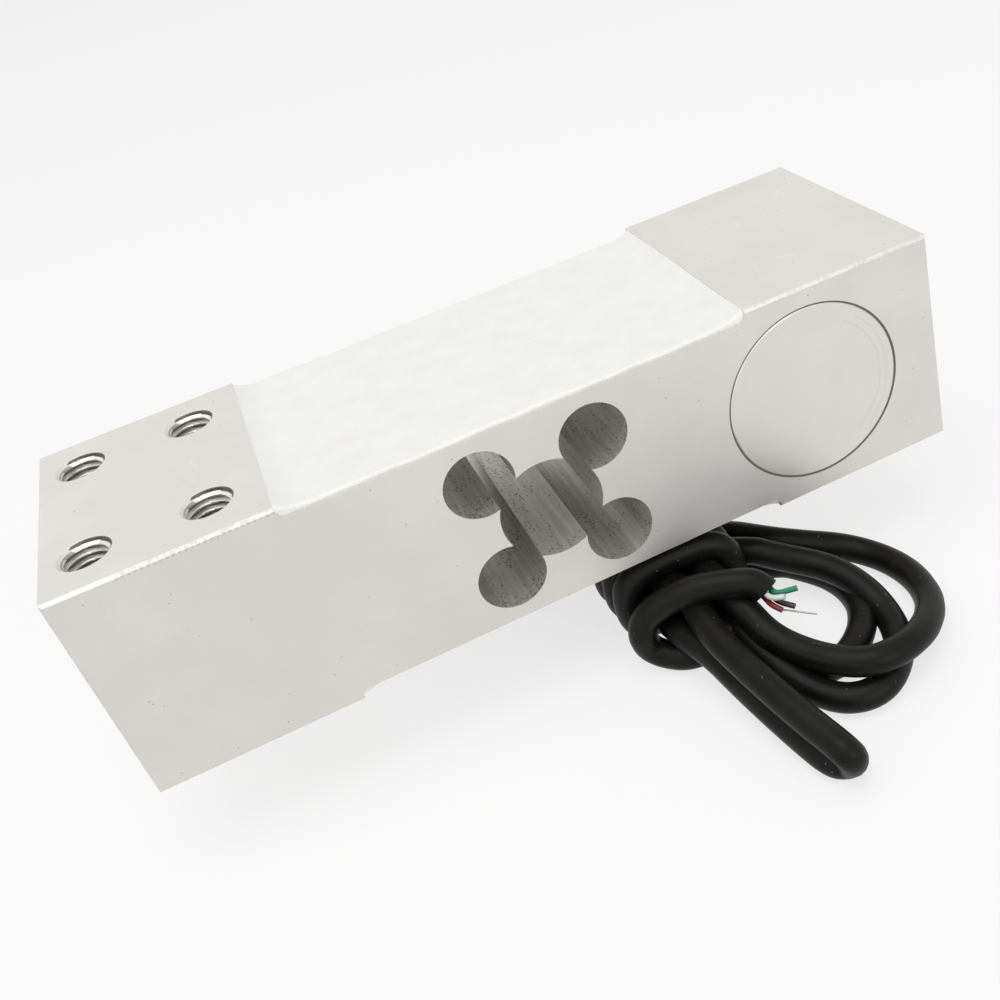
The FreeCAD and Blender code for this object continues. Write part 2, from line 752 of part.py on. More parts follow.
def make_bush():
    """The rubber bush in the far side: a plug in its seat and a tapered nose round the cable."""
    seat_y = "block_width / 2 - bush_seat_depth"
    plug_bore = "bush_bore_seat - 2 * bush_clearance"
    plug = add_rod("bush_plug", plug_bore, "bush_seat_depth", COVER_X, seat_y, "0", INTO_PLUS_Y)
    nose = doc.addObject("Part::Cone", "bush_nose_cone")
    nose.Placement = FreeCAD.Placement(Vector(), INTO_PLUS_Y)
    bind(nose, "Radius1", f"({plug_bore}) / 2")
    bind(nose, "Radius2", "bush_nose / 2")
    bind(nose, "Height", "bush_stand")
    bind(nose, "Placement.Base.x", COVER_X)
    bind(nose, "Placement.Base.y", "block_width / 2")
    outer = join("bush_outer", [plug, nose])
    bore = add_rod("bush_bore", "cable_diameter + 2 * cable_clearance",
                   "bush_seat_depth + bush_stand", COVER_X, seat_y, "0", INTO_PLUS_Y)
    bush = doc.addObject("Part::Cut", "cable_bush")
    bush.Base = outer
    bush.Tool = bore
    bush.Label = "cable_bush"
    return bush


JACKET_END = "(-block_width / 2 + pocket_depth + jacket_setback)"
EXIT_Y = "(block_width / 2 + bush_stand)"


def make_cable_entry():
    """The cable inside the block, from its cut jacket in the bore to the nose of the bush."""
    return add_rod("cable_entry", "cable_diameter", f"{EXIT_Y} - {JACKET_END}", COVER_X,
                   JACKET_END, "0", INTO_PLUS_Y)


def make_inner_cores():
    """The four cores from the cut jacket to the joints of the trim board."""
    cable_x, jacket = evaluate(COVER_X), evaluate(JACKET_END)
    joint_x = evaluate(JOINT_X)
    core, spread = size("core_diameter"), size("core_spread")
    level = board_front() - size("joint_height") - core / 2
    pitch = size("joint_pitch") / 2
    places = {
        "inner_core_red": (0, spread, 3 * pitch, 0),
        "inner_core_black": (0, -spread, -3 * pitch, 0),
        "inner_core_green": (spread, 0, pitch, 0),
        "inner_core_white": (-spread, 0, -pitch, core + size("cable_clearance") / 2),
    }
    made = []
    for name, (across, up, joint_z, lift) in places.items():
        points = [
            Vector(cable_x + across, jacket, up),
            Vector(cable_x + across, level - lift, up),
        ]
        if lift:
            points.append(Vector((cable_x + 2 * joint_x) / 3, level - lift, joint_z))
        points.append(Vector(joint_x + core / 2, level, joint_z))
        made.append(add_shape(name, round_wire(points, core, size("core_bend"))[0]))
    return made


SURFACE_Z = f"(-({FLOOR_Z} + sealant_depth + hank_gap + hank_height))"

# The cable's free run from the bush to the hank.  Its height over the surface is worked out
# from the diameter wherever it lies down.
RUN_POINTS = (
    (50, 28, 0),
    (50, 38, 0),
    (50, 46.7, -5),
    (50, 51.7, -13.7),
    (47.5, 52.5, -24),
    (41, 51.3, -32),
    (33, 48.5, None),
    (23.5, 44.4, None),
    (14, 42.5, None),
)


def make_cable_run():
    lying = evaluate(f"{SURFACE_Z} + cable_diameter / 2")
    points = [Vector(x, y, lying if z is None else z) for x, y, z in RUN_POINTS]
    points[0].y = evaluate(EXIT_Y)
    solid, radii, length = round_wire(points, size("cable_diameter"))
    section = math.pi * size("cable_diameter") ** 2 / 4
    print("cable run: radii", [round(r, 1) for r in radii], "length", round(length, 1))
    print("cable run: volume over section times length", round(solid.Volume / section / length, 4))
    return add_shape("cable_run", solid)


WOUND_OUTLINE = (
    (5.5, -34),
    (31.5, -34),
    (31.5, -10),
    (18, 22),
    (15, 37.5),
    (13, 47.5),
    (-14, 47.5),
    (-26, 32),
    (-14, 4),
    (5.5, -14),
)
FAN_OUTLINE = (
    (24, -33),
    (28, -12),
    (40, -15.5),
    (50, -20.5),
    (57, -27),
    (60, -38),
    (57, -50),
    (49, -58),
    (40, -61.5),
    (34, -62),
    (29, -60),
    (24, -50),
)
FOLD_OUTLINE = (
    (13, -33),
    (24, -33),
    (29.5, -62),
    (28, -70),
    (22, -71),
    (19, -62),
)


WOUND_FACE = "(block_width / 2 + wound_front)"


def make_hank():
    """The outer shape of the wound hank: its windings, the loops in front and a long fold."""
    body = new_body("cable_hank")
    layers = (
        ("wound", WOUND_OUTLINE, "hank_height"),
        ("fan", FAN_OUTLINE, "fan_height"),
        ("fold", FOLD_OUTLINE, "fan_height"),
    )
    for name, outline, height in layers:
        sketch = new_sketch(body, f"{name}_plan", "XY_Plane", SURFACE_Z)
        add_outline(sketch, [(str(x), str(y)) for x, y in outline])
        pad(body, f"{name}_layer", sketch, height)
    tail = new_sketch(body, "tail_section", "XZ_Plane", WOUND_FACE)
    add_circle(tail, "tail_x", "tail_z", "cable_diameter")
    pad(body, "tail", tail, "tail_length")
    return body


# Each core beyond the cut end of the jacket: its diameter, where it leaves the cut end beside
# the middle of the cable, and the points that it follows from there.
CORE_ENDS = {
    "core_end_green": ("core_diameter", (0.7, 0.75), ((0, -2.5, 0), (3.6, -3.7, 0.2))),
    "core_end_white": ("core_diameter", (-0.6, 0.8), ((0, -3, 0), (2, -4.6, 0.4))),
    "core_end_red": ("core_diameter", (-0.7, -0.6), ((0, -3, 0), (1, -4.9, -0.4))),
    "core_end_black": ("core_diameter", (0.6, -0.7), ((0, -2.8, 0), (2, -5.2, -0.5))),
    "drain_wire": ("drain_wire", (0, -1.9), ((0, -3, 0), (5, -8, -0.4))),
}


def make_core_ends():
    made = []
    face_y = -evaluate(WOUND_FACE) - size("tail_length")
    for name, (diameter, (across, up), steps) in CORE_ENDS.items():
        start = Vector(size("tail_x") + across, face_y, size("tail_z") + up)
        points = [start, *(start + Vector(*step) for step in steps)]
        made.append(add_shape(name, round_wire(points, size(diameter))[0]))
    return made


# ---------------------------------------------------------------------------------------------
# Assembly
# ---------------------------------------------------------------------------------------------


def make_all():
    nodes = [make_spring_element()]
    for face, sign in (("top", 1), ("bottom", -1)):
        buried = [
            make_gauge(f"strain_gauge_{face}_load", -1, sign),
            make_gauge(f"strain_gauge_{face}_fixed", 1, sign),
            make_strip(f"terminal_strip_{face}", sign),
            make_leads(f"gauge_leads_{face}", sign),
        ]
        doc.recompute()
        nodes += [*buried, make_bridge_wires(f"bridge_wires_{face}", sign)]
        nodes.append(make_sealant(f"{face}_sealant", sign, buried))
    nodes += [make_cover(), make_cover_bead(), *make_board()]
    nodes += [make_bush(), make_cable_entry(), *make_inner_cores()]
    nodes += [make_cable_run(), make_hank(), *make_core_ends()]
    doc.recompute()
    return nodes


def check_all(nodes):
    for item in doc.Objects:
        if "Invalid" in item.State or "Error" in item.State:
            raise RuntimeError(f"{item.Name} failed: {item.State}")
    for node in nodes:
        if node.Shape.isNull() or not node.Shape.isValid() or not node.Shape.Solids:
            raise RuntimeError(f"{node.Label} has no valid shape")


if __name__ == "__main__":
    nodes = make_all()
    check_all(nodes)
    os.makedirs("parts", exist_ok=True)
    for node in nodes:
        node.Shape.exportStep(f"parts/{node.Label}.step")
        print(f"{node.Label}: {len(node.Shape.Solids)} solids, {node.Shape.Volume:.1f} mm3")
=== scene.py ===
"""Finishes a single point load cell: a machined aluminium spring element with tapped mounting
holes, a bored flexure, white sealing compound over its gauge recesses and its signal cable,
folded into a hank that is bound with its own windings."""

import math

import bmesh
import bpy
import numpy as np
from bpy.props import FloatProperty, FloatVectorProperty, IntProperty, PointerProperty
from mathutils import Matrix, Vector


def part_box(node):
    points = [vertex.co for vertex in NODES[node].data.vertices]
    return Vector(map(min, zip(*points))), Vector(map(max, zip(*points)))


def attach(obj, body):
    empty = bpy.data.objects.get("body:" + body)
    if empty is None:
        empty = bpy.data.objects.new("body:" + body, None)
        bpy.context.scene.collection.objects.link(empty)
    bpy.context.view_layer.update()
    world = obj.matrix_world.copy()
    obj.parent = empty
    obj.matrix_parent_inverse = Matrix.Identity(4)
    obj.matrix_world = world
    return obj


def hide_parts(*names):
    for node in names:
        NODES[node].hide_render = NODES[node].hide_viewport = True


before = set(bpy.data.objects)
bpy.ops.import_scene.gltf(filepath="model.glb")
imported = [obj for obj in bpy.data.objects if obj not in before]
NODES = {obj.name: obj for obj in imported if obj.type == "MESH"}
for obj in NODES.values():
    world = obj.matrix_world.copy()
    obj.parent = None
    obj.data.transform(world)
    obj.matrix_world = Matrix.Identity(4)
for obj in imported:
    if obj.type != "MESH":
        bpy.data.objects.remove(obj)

bl_info = {
    "name": "Single point load cell",
    "version": (1, 0, 0),
    "blender": (4, 5, 0),
    "location": "3D View > Sidebar > Load cell",
    "description": "Machined block, threads, sealing compound and cable of a load cell",
    "category": "Object",
}

MM = 0.001
BLOCK_LOW, BLOCK_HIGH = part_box("spring_element")
SURFACE_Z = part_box("cable_hank")[0].z


# ---------------------------------------------------------------------------------------------
# Sizes and colours
# ---------------------------------------------------------------------------------------------


class LoadCellSizes(bpy.types.PropertyGroup):
    """Sizes in metres that the block and the cable are finished with."""

    cable_diameter: FloatProperty(
        name="Cable", description="Diameter of the cable's jacket",
        default=5.2 * MM, unit="LENGTH", precision=5)
    cable_length: FloatProperty(
        name="Cable length", description="Length of the cable from the bush to its cut end",
        default=1.262, unit="LENGTH")
    thread_major: FloatProperty(
        name="Thread", description="Major diameter of the mounting threads",
        default=8 * MM, unit="LENGTH", precision=5)
    thread_pitch: FloatProperty(
        name="Pitch", description="Pitch of the mounting threads",
        default=1.25 * MM, unit="LENGTH", precision=5)
    thread_pitch_x: FloatProperty(
        name="Holes along", description="Threaded holes, centre to centre along the block",
        default=19 * MM, unit="LENGTH", precision=5)
    thread_pitch_y: FloatProperty(
        name="Holes across", description="Threaded holes, centre to centre across the block",
        default=30 * MM, unit="LENGTH", precision=5)
    free_thread_depth: FloatProperty(
        name="Free end threads", description="Depth of the threads in the free end",
        default=17 * MM, unit="LENGTH", precision=5)
    fixed_thread_depth: FloatProperty(
        name="Fixed end threads", description="Depth of the threads in the fixed end",
        default=12 * MM, unit="LENGTH", precision=5)
    end_inset: FloatProperty(
        name="Hole inset", description="End face to the first pair of threaded holes",
        default=7 * MM, unit="LENGTH", precision=5)
    windings: IntProperty(
        name="Windings", description="Turns of the cable round the hank", default=3, min=1)
    compound_wave: FloatProperty(
        name="Compound unevenness", description="Height of the waves in the sealing compound",
        default=0.09 * MM, unit="LENGTH", precision=6)


class LoadCellColours(bpy.types.PropertyGroup):
    """Base colours of the finishes."""

    aluminium: FloatVectorProperty(
        name="Aluminium", description="Machined aluminium of the block", subtype="COLOR",
        size=3, min=0, max=1, default=(0.745, 0.725, 0.69))
    bore: FloatVectorProperty(
        name="Bored wall", description="Bored walls of the flexure", subtype="COLOR",
        size=3, min=0, max=1, default=(0.60, 0.59, 0.54))
    cover: FloatVectorProperty(
        name="Cover", description="Cover disc", subtype="COLOR",
        size=3, min=0, max=1, default=(0.76, 0.735, 0.695))
    compound: FloatVectorProperty(
        name="Sealing compound", description="White silicone over the gauges", subtype="COLOR",
        size=3, min=0, max=1, default=(0.93, 0.93, 0.91))
    jacket: FloatVectorProperty(
        name="Cable jacket", description="Black jacket of the cable", subtype="COLOR",
        size=3, min=0, max=1, default=(0.006, 0.0058, 0.0054))


def sizes():
    return bpy.context.scene.load_cell_sizes


def colour(name):
    return tuple(getattr(bpy.context.scene.load_cell_colours, name))


def holes_along():
    """The middle of each end's four holes, from the middle of the block."""
    return BLOCK_HIGH.x - sizes().end_inset - sizes().thread_pitch_x / 2


# ---------------------------------------------------------------------------------------------
# Shader maths
# ---------------------------------------------------------------------------------------------


class Term:
    """A number from a socket, for use in arithmetic."""

    def __init__(self, shader, socket):
        self.shader = shader
        self.socket = socket

    def maths(self, operation, *others):
        return self.shader.node("ShaderNodeMath", {"operation": operation},
                                dict(enumerate((self, *others))))

    def __add__(self, other):
        return self.maths("ADD", other)

    def __radd__(self, other):
        return self.maths("ADD", other)

    def __sub__(self, other):
        return self.maths("SUBTRACT", other)

    def __rsub__(self, other):
        return self.shader.node("ShaderNodeMath", {"operation": "SUBTRACT"}, {0: other, 1: self})

    def __mul__(self, other):
        return self.maths("MULTIPLY", other)

    def __rmul__(self, other):
        return self.maths("MULTIPLY", other)

    def __truediv__(self, other):
        return self.maths("DIVIDE", other)

    def __pow__(self, other):
        return self.maths("POWER", other)

    def __abs__(self):
        return self.maths("ABSOLUTE")

    def sine(self):
        return self.maths("SINE")

    def above(self, other):
        return self.maths("GREATER_THAN", other)

    def below(self, other):
        return self.maths("LESS_THAN", other)

    def most(self, other):
        return self.maths("MAXIMUM", other)

    def least(self, other):
        return self.maths("MINIMUM", other)

    def ramp(self, low, high, start=0.0, end=1.0):
        """A smooth step from start to end as the number goes from low to high."""
        return self.shader.node(
            "ShaderNodeMapRange", {"interpolation_type": "SMOOTHSTEP", "clamp": True},
            {0: self, 1: low, 2: high, 3: start, 4: end})


class Shader:
    """A material built from one Principled shader."""

    def __init__(self, name):
        self.material = bpy.data.materials.new(name)
        self.material.use_nodes = True
        self.tree = self.material.node_tree
        self.principled = self.tree.nodes["Principled BSDF"]
        self.place = self.node("ShaderNodeTexCoord", {}, {}, "Object")

    def node(self, kind, settings, inputs, output=0):
        """A node of a type, with its settings made first and then its sockets."""
        made = self.tree.nodes.new(kind)
        for key, setting in settings.items():
            if key == "stops":
                self.set_stops(made.color_ramp, setting)
            else:
                setattr(made, key, setting)
        for key, value in inputs.items():
            self.feed(made.inputs[key], value)
        return Term(self, made.outputs[output])

    def feed(self, socket, value):
        if isinstance(value, Term):
            self.tree.links.new(value.socket, socket)
        else:
            socket.default_value = value

    def set_stops(self, ramp, stops):
        while len(ramp.elements) > 1:
            ramp.elements.remove(ramp.elements[-1])
        ramp.elements[0].position, first = stops[0][0], stops[0][1]
        ramp.elements[0].color = (first, first, first, 1)
        for position, grey in stops[1:]:
            ramp.elements.new(position).color = (grey, grey, grey, 1)

    def along(self, axis):
        """One Object coordinate, in millimetres."""
        return self.node("ShaderNodeSeparateXYZ", {}, {0: self.place}, axis) / MM

    def facing(self, axis):
        """How far the face looks along an axis, from 0 to 1."""
        normal = self.node("ShaderNodeTexCoord", {}, {}, "Normal")
        return abs(self.node("ShaderNodeSeparateXYZ", {}, {0: normal}, axis))

    def stretched(self, stretch, origin=(0, 0, 0)):
        """Object coordinates, in millimetres over a stretch along each axis."""
        scale = tuple(1 / (MM * part) for part in stretch)
        return self.node("ShaderNodeMapping", {"vector_type": "POINT"},
                         {"Vector": self.place, "Scale": scale, "Location": origin})

    def noise(self, grain, stretch=(1, 1, 1), detail=3.0, rough=0.55, origin=(0, 0, 0)):
        """Noise whose grain is in millimetres."""
        spread = tuple(grain * part for part in stretch)
        return self.node("ShaderNodeTexNoise", {},
                         {"Vector": self.stretched(spread, origin), "Scale": 1.0,
                          "Detail": detail, "Roughness": rough})

    def cells(self, grain, stretch=(1, 1, 1), origin=(0, 0, 0)):
        """The distance from the middle of scattered cells whose size is in millimetres."""
        spread = tuple(grain * part for part in stretch)
        return self.node("ShaderNodeTexVoronoi", {"feature": "F1"},
                         {"Vector": self.stretched(spread, origin), "Scale": 1.0})

    def blend(self, share, first, second, mode="MIX"):
        """Two colours mixed by a share."""
        return self.node("ShaderNodeMix", {"data_type": "RGBA", "blend_type": mode},
                         {0: share, 6: self.rgba(first), 7: self.rgba(second)}, 2)

    @staticmethod
    def rgba(value):
        return value if isinstance(value, Term) else (*value[:3], 1.0)

    def bump(self, height, strength, distance, normal=None):
        """A bumped normal; the distance is in millimetres."""
        inputs = {"Height": height, "Strength": strength, "Distance": distance * MM}
        if normal is not None:
            inputs["Normal"] = normal
        return self.node("ShaderNodeBump", {}, inputs)

    def finish(self, **sockets):
        """Set the sockets of the shader, named with underscores for spaces."""
        for key, value in sockets.items():
            self.feed(self.principled.inputs[key.replace("_", " ")], value)
        return self.material


def plain_material(name, base, roughness, metallic=0.0, mottle=0.08):
    """A plain finish with a little unevenness of tone and gloss."""
    shader = Shader(name)
    cloud = shader.noise(1.5)
    darker = tuple(part * (1 - mottle) for part in base)
    return shader.finish(
        Base_Color=shader.blend(cloud, darker, base),
        Roughness=cloud * 0.15 + (roughness - 0.07),
        Metallic=metallic)


FLEXURE_REACH = (17.0, 16.5)  # from the middle, along and up, in millimetres
BORE_SETBACK = 0.05  # how far inside the sides a bored wall begins


def aluminium_material():
    """Satin machined faces, bored flexure walls with streaks and pits, and painted shade that
    deepens down the threaded holes and into their thread roots.
    """
    shader = Shader("machined_aluminium")
    x, y, z = (shader.along(axis) for axis in range(3))
    across, upright = shader.facing(1), shader.facing(2)
    on_side = across.above(0.7)
    on_flat = upright.above(0.7)

    cloud = shader.noise(14, detail=3)
    fine = shader.noise(0.5, detail=2)
    grain = shader.noise(0.16, stretch=(8, 8, 1), detail=2)
    mill = shader.noise(0.14, stretch=(1, 60, 1), detail=2)
    lay = on_side * grain + (1 - on_side) * mill

    bright = colour("aluminium")
    dull = tuple(part * 0.95 for part in bright)
    tone = shader.blend(cloud.ramp(0.35, 0.7), dull, bright)
    tone = shader.blend((fine.ramp(0.60, 0.75)) * 0.22, tone, (0.60, 0.585, 0.55))
    specks = shader.cells(2.6).below(0.055) * shader.noise(14).above(0.5)
    tone = shader.blend(specks * 0.75, tone, (0.30, 0.29, 0.26))

    scratch_a = shader.noise(1.1, stretch=(14, 14, 0.25), detail=1.5, origin=(3, 1, 7))
    scratch_b = shader.noise(1.3, stretch=(0.22, 12, 12), detail=1.5, origin=(9, 4, 2))
    scratches = abs(scratch_a - 0.5).below(0.006) + abs(scratch_b - 0.5).below(0.005)
    scratches = scratches.least(1.0) * shader.noise(11, origin=(5, 5, 5)).ramp(0.5, 0.62)
    tone = shader.blend(scratches * 0.12, tone, (0.93, 0.92, 0.90))

    teeth = (x * (2 * math.pi / 0.95)).sine() * 0.25 + 19.35
    marks = on_side * z.above(teeth) * (x + 51.0).maths("ABSOLUTE").below(13.0) * y.below(0.0)
    rim = (abs(z).above(19.42) + abs(x).above(74.7)).least(1.0) * on_side
    nicks = rim * shader.noise(0.9, detail=2, origin=(7, 7, 7)).ramp(0.50, 0.62)
    tone = shader.blend((marks * 0.30 + nicks * 0.18).least(0.5), tone, (0.30, 0.29, 0.27))

    in_middle = abs(x).below(FLEXURE_REACH[0]) * abs(z).below(FLEXURE_REACH[1]) * (1 - on_side)
    in_bore = in_middle * abs(y).below(BLOCK_HIGH.y / MM - BORE_SETBACK)
    streak = shader.noise(0.8, stretch=(1, 30, 1), detail=4)
    wall = shader.blend(streak.ramp(0.32, 0.68), tuple(p * 0.86 for p in colour("bore")),
                        tuple(p * 1.10 for p in colour("bore")))
    patch = shader.noise(7, detail=3, origin=(2, 8, 4)).ramp(0.42, 0.62)
    pits = shader.cells(0.62).below(0.30) * patch
    pits = (pits + shader.cells(1.7, origin=(4, 1, 3)).below(0.12)).least(1.0)
    wall = shader.blend(pits * 0.8, wall, (0.06, 0.058, 0.05))
    tone = shader.blend(in_bore, tone, wall)

    hole_x = abs(abs(x) - holes_along() / MM)
    off_x = abs(hole_x - sizes().thread_pitch_x / 2 / MM)
    off_y = abs(abs(y) - sizes().thread_pitch_y / 2 / MM)
    from_axis = (off_x * off_x + off_y * off_y) ** 0.5
    at_hole = from_axis.below(4.25) * (1 - on_flat)
    # Painted shade: the threaded holes grow darker with depth and towards the roots of their
    # threads.
    depth = BLOCK_HIGH.z / MM - abs(z)
    shade = depth.ramp(0.6, 9.0, 0.25, 0.93)
    root = from_axis.ramp(3.45, 4.0, 0.15, 0.85)
    tone = shader.blend(at_hole * shade.most(root), tone, (0.055, 0.052, 0.046))

    rough = cloud * 0.05 + lay * 0.10 + 0.36 + in_bore * 0.05 + at_hole * 0.1
    waves = shader.noise(3.2, stretch=(1, 2, 1), detail=2)
    normal = shader.bump(waves, 0.12, 0.05)
    normal = shader.bump(lay, 0.30, 0.03, normal)
    normal = shader.bump(pits * in_bore + scratches * 0.12, -0.5, 0.05, normal)
    return shader.finish(Base_Color=tone, Metallic=0.72 - in_bore * 0.1 - specks * 0.3,
                         Roughness=rough.least(0.8), Normal=normal)


def cover_material():
    """Fine satin sheet with faint arcs near one edge."""
    shader = Shader("cover_aluminium")
    low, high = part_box("side_cover")
    x, z = shader.along(0) - (low.x + high.x) / 2 / MM, shader.along(2)
    cloud = shader.noise(6, detail=3)
    grain = shader.noise(0.12, stretch=(6, 1, 1), detail=2)
    radius = (x * x + z * z) ** 0.5
    arcs = abs(radius - 13.2).below(0.12) + abs(radius - 14.6).below(0.10)
    arcs = arcs * x.above(6.0) * abs(z).below(11.0) * cloud.ramp(0.3, 0.5)
    tone = shader.blend(cloud, tuple(p * 0.93 for p in colour("cover")), colour("cover"))
    tone = shader.blend(arcs * 0.25, tone, (0.45, 0.44, 0.42))
    normal = shader.bump(grain, 0.12, 0.02)
    return shader.finish(Base_Color=tone, Metallic=1.0,
                         Roughness=cloud * 0.08 + grain * 0.08 + 0.26, Normal=normal)


def compound_material():
    """White silicone with faint clouding and a little dust."""
    shader = Shader("white_compound")
    cloud = shader.noise(5, detail=4)
    dust = shader.cells(3.1, origin=(6, 2, 2)).below(0.05)
    base = colour("compound")
    tone = shader.blend(cloud.ramp(0.3, 0.7), tuple(p * 0.965 for p in base), base)
    tone = shader.blend(dust * 0.5, tone, (0.62, 0.60, 0.55))
    normal = shader.bump(shader.noise(1.8, detail=3), 0.18, 0.12)
    return shader.finish(Base_Color=tone, Roughness=cloud * 0.15 + 0.33, Normal=normal,
                         Subsurface_Weight=0.06, Subsurface_Scale=0.4 * MM)


def jacket_material():
    """Satin black jacket with dust specks, rub marks and a soft sheen."""
    shader = Shader("cable_jacket")
    cloud = shader.noise(6, detail=4)
    rub = shader.noise(2.2, stretch=(1, 1.4, 1), detail=3, origin=(4, 4, 4))
    dust = shader.cells(2.3).below(0.07) * shader.noise(9, origin=(1, 7, 1)).above(0.48)
    flecks = shader.cells(0.9, origin=(3, 3, 1)).below(0.05)
    base = colour("jacket")
    tone = shader.blend(cloud.ramp(0.3, 0.75), base, tuple(p * 1.9 for p in base))
    tone = shader.blend(rub.ramp(0.62, 0.80) * 0.12, tone, (0.10, 0.097, 0.09))
    tone = shader.blend((dust * 0.35 + flecks * 0.12).least(1.0), tone, (0.30, 0.28, 0.25))
    normal = shader.bump(shader.noise(0.35, detail=2), 0.10, 0.03)
    normal = shader.bump(shader.noise(4, origin=(2, 1, 9)), 0.20, 0.15, normal)
    return shader.finish(Base_Color=tone, Roughness=cloud * 0.14 + rub * 0.10 + 0.28,
                         Normal=normal, Specular_IOR_Level=0.14)


# ---------------------------------------------------------------------------------------------
# Meshes
# ---------------------------------------------------------------------------------------------


def new_object(name, mesh, material):
    made = bpy.data.objects.new(name, mesh)
    bpy.context.scene.collection.objects.link(made)
    made.data.materials.clear()
    made.data.materials.append(material)
    return made


def grid_faces(rows, columns, closed=False):
    """Quads of a grid whose points go row by row; closed joins its last column to the first."""
    faces = []
    for row in range(rows - 1):
        for column in range(columns - (0 if closed else 1)):
            after = (column + 1) % columns
            faces.append((row * columns + column, row * columns + after,
                          (row + 1) * columns + after, (row + 1) * columns + column))
    return faces


def mesh_from(name, points, faces):
    mesh = bpy.data.meshes.new(name)
    mesh.from_pydata([tuple(point) for point in points], [], faces)
    mesh.update()
    return mesh


def dress(node, material):
    """Give a node its finish."""
    piece = NODES[node]
    piece.data.materials.clear()
    piece.data.materials.append(material)


THREAD_PLAY = 0.03 * MM  # added to the thread's major radius
THREAD_HEIGHT = 0.58  # as a share of the pitch
PLUG_AROUND, PLUG_PER_TURN = 36, 6  # points round the plug, and rows of them in each pitch
PLUG_MOUTH = 0.6 * MM  # how far the plug stands out of the block


def threaded_plug(thread_depth):
    """A closed plug with a thread, upright, its mouth just above z = 0."""
    major = sizes().thread_major / 2 + THREAD_PLAY
    lead = sizes().thread_pitch
    minor = major - THREAD_HEIGHT * lead
    around = PLUG_AROUND
    levels = np.arange(-thread_depth, PLUG_MOUTH, lead / PLUG_PER_TURN)
    points = []
    for level in levels:
        for step in range(around):
            share = (level / lead - step / around) % 1.0
            rise = 1 - abs(2 * share - 1)
            radius = minor + (major - minor) * min(1.0, max(0.0, rise * 1.35 - 0.12))
            angle = 2 * math.pi * step / around
            points.append((radius * math.cos(angle), radius * math.sin(angle), level))
    faces = grid_faces(len(levels), around, closed=True)
    faces.append(tuple(reversed(range(around))))
    last = (len(levels) - 1) * around
    faces.append(tuple(range(last, last + around)))
    return mesh_from("threaded_plug", points, faces)


def hole_pattern_tree(plug):
    """Nodes that set a plug at the corners of a rectangle."""
    tree = bpy.data.node_groups.new("hole_pattern", "GeometryNodeTree")
    face = tree.interface
    for name, kind in (("Along", "NodeSocketFloat"), ("Across", "NodeSocketFloat"),
                       ("Middle", "NodeSocketVector"), ("Turn", "NodeSocketFloat"),
                       ("Finish", "NodeSocketMaterial")):
        face.new_socket(name, in_out="INPUT", socket_type=kind)
    face.new_socket("Geometry", in_out="OUTPUT", socket_type="NodeSocketGeometry")
    made = {}
    for key, kind in (("in", "NodeGroupInput"), ("grid", "GeometryNodeMeshGrid"),
                      ("object", "GeometryNodeObjectInfo"),
                      ("place", "GeometryNodeInstanceOnPoints"), ("turn", "ShaderNodeCombineXYZ"),
                      ("move", "GeometryNodeTransform"), ("real", "GeometryNodeRealizeInstances"),
                      ("finish", "GeometryNodeSetMaterial"), ("out", "NodeGroupOutput")):
        made[key] = tree.nodes.new(kind)
    made["grid"].inputs["Vertices X"].default_value = 2
    made["grid"].inputs["Vertices Y"].default_value = 2
    made["object"].inputs["Object"].default_value = plug
    for start, output, end, entry in (
            ("in", "Along", "grid", "Size X"), ("in", "Across", "grid", "Size Y"),
            ("grid", "Mesh", "place", "Points"), ("object", "Geometry", "place", "Instance"),
            ("in", "Turn", "turn", "X"), ("turn", "Vector", "place", "Rotation"),
            ("place", "Instances", "move", "Geometry"), ("in", "Middle", "move", "Translation"),
            ("move", "Geometry", "real", "Geometry"), ("real", "Geometry", "finish", "Geometry"),
            ("in", "Finish", "finish", "Material"), ("finish", "Geometry", "out", "Geometry")):
        tree.links.new(made[start].outputs[output], made[end].inputs[entry])
    return tree


def socket_key(tree, name):
    return next(item.identifier for item in tree.interface.items_tree
                if item.item_type == "SOCKET" and item.in_out == "INPUT" and item.name == name)


def thread_cutters(name, middle, turn, thread_depth, material):
    """Four threaded plugs at one end of the block, as one plain object."""
    plug = new_object(f"{name}_plug", threaded_plug(thread_depth), material)
    tree = hole_pattern_tree(plug)
    holder = new_object(name, bpy.data.meshes.new(name), material)
    pattern = holder.modifiers.new("pattern", "NODES")
    pattern.node_group = tree
    for key, value in (("Along", sizes().thread_pitch_x), ("Across", sizes().thread_pitch_y),
                       ("Middle", middle), ("Turn", turn), ("Finish", material)):
        pattern[socket_key(tree, key)] = value
    graph = bpy.context.evaluated_depsgraph_get()
    mesh = bpy.data.meshes.new_from_object(holder.evaluated_get(graph))
    bpy.data.objects.remove(holder)
    bpy.data.objects.remove(plug)
    return new_object(name, mesh, material)


def merged_mesh(mesh, distance):
    """The mesh with its doubled points made one and its slivers taken out."""
    work = bmesh.new()
    work.from_mesh(mesh)
    bmesh.ops.remove_doubles(work, verts=work.verts, dist=distance)
    bmesh.ops.dissolve_degenerate(work, edges=work.edges, dist=distance)
    work.to_mesh(mesh)
    work.free()
    return mesh


def cut_away(piece, cutter):
    """Take the cutter out of the piece and delete the cutter."""
    cut = piece.modifiers.new("cut", "BOOLEAN")
    cut.operation = "DIFFERENCE"
    cut.solver = "MANIFOLD"
    cut.object = cutter
    graph = bpy.context.evaluated_depsgraph_get()
    mesh = bpy.data.meshes.new_from_object(piece.evaluated_get(graph))
    if len(mesh.polygons) <= len(piece.data.polygons):
        raise RuntimeError(f"{cutter.name} cuts nothing out of {piece.name}")
    piece.modifiers.clear()
    piece.data = mesh
    bpy.data.objects.remove(cutter)


